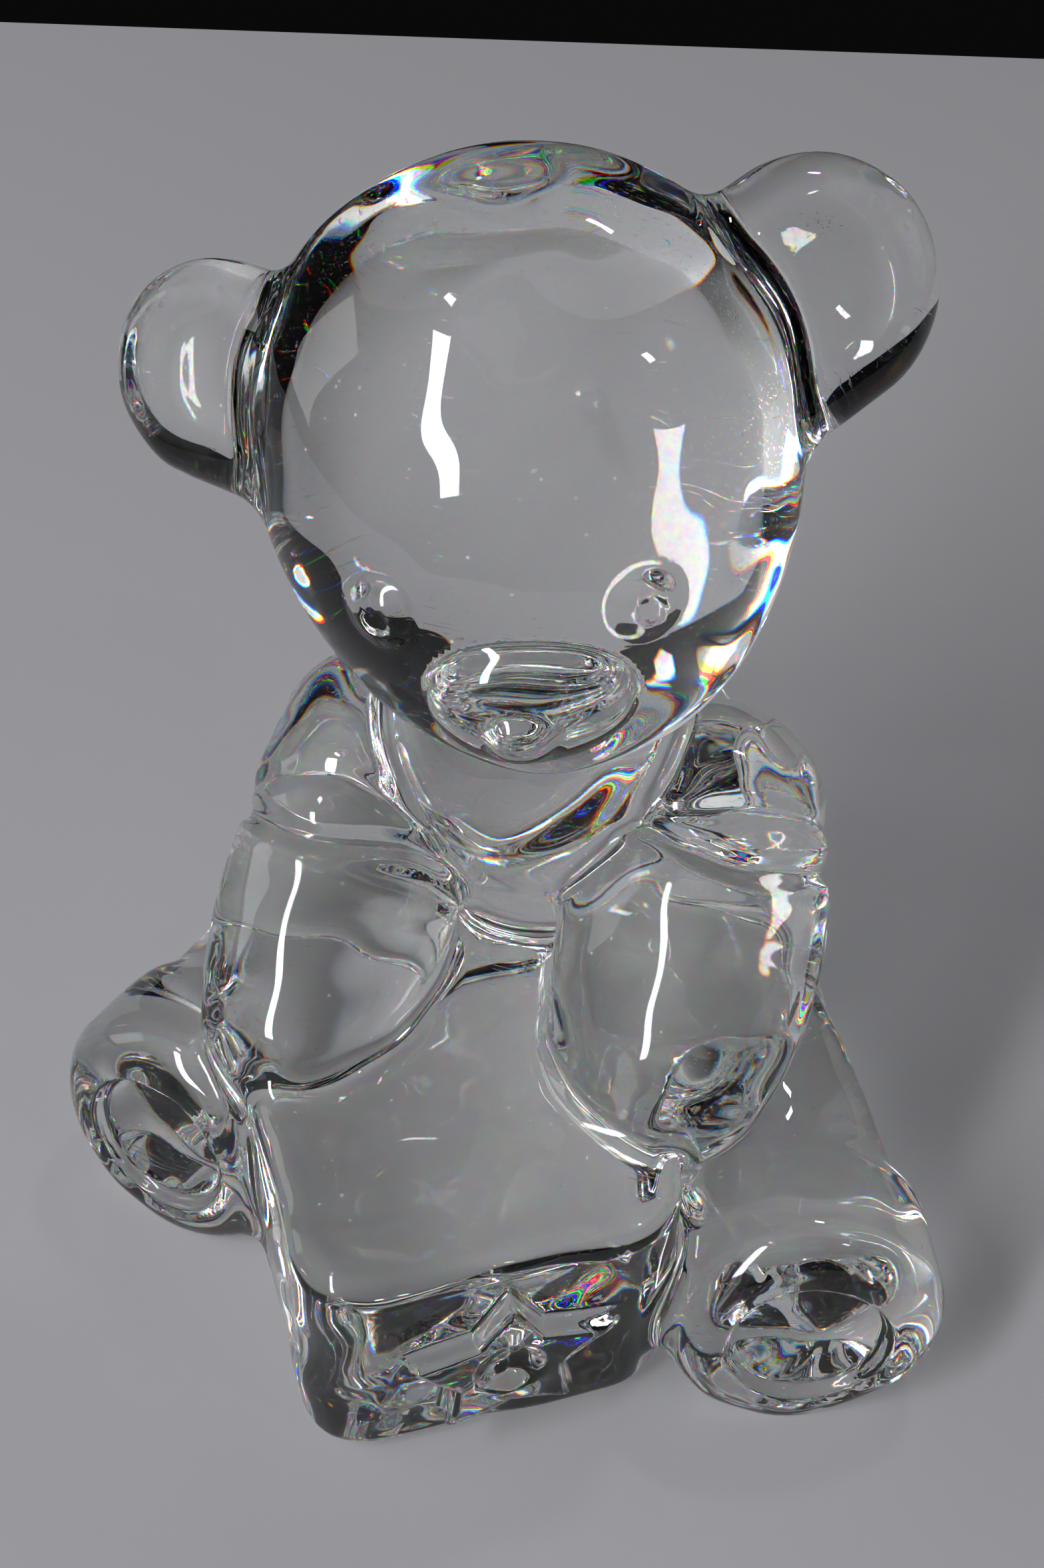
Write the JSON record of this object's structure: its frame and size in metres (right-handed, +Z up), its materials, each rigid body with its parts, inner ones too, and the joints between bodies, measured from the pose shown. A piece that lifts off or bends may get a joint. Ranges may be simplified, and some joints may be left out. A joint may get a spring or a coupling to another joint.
{
  "type": "glass bear figurine",
  "caption": "Seated clear-glass teddy bear figurine, head tilted, arms resting on a toy block held between splayed legs, flat ground base.",
  "frame": {"origin": "point on the table under the middle of the bear's body", "axes": "+Z up, -Y is the way the bear faces, +X is the bear's own left"},
  "size_m": [0.064, 0.0653, 0.0765],
  "materials": {
    "crystal": "polished clear crystal glass",
    "ground_crystal": "clear crystal glass, raised relief, fire polished"
  },
  "bodies": {
    "root": {"head": "crystal", "muzzle": "crystal", "nose": "ground_crystal", "left_eye": "ground_crystal", "right_eye": "ground_crystal", "left_ear": "crystal", "right_ear": "crystal", "torso": "crystal", "left_arm": "crystal", "right_arm": "crystal", "left_leg": "crystal", "right_leg": "crystal", "left_foot": "crystal", "right_foot": "crystal", "toy_block": "crystal", "block_star": "ground_crystal"}
  },
  "joints": []
}
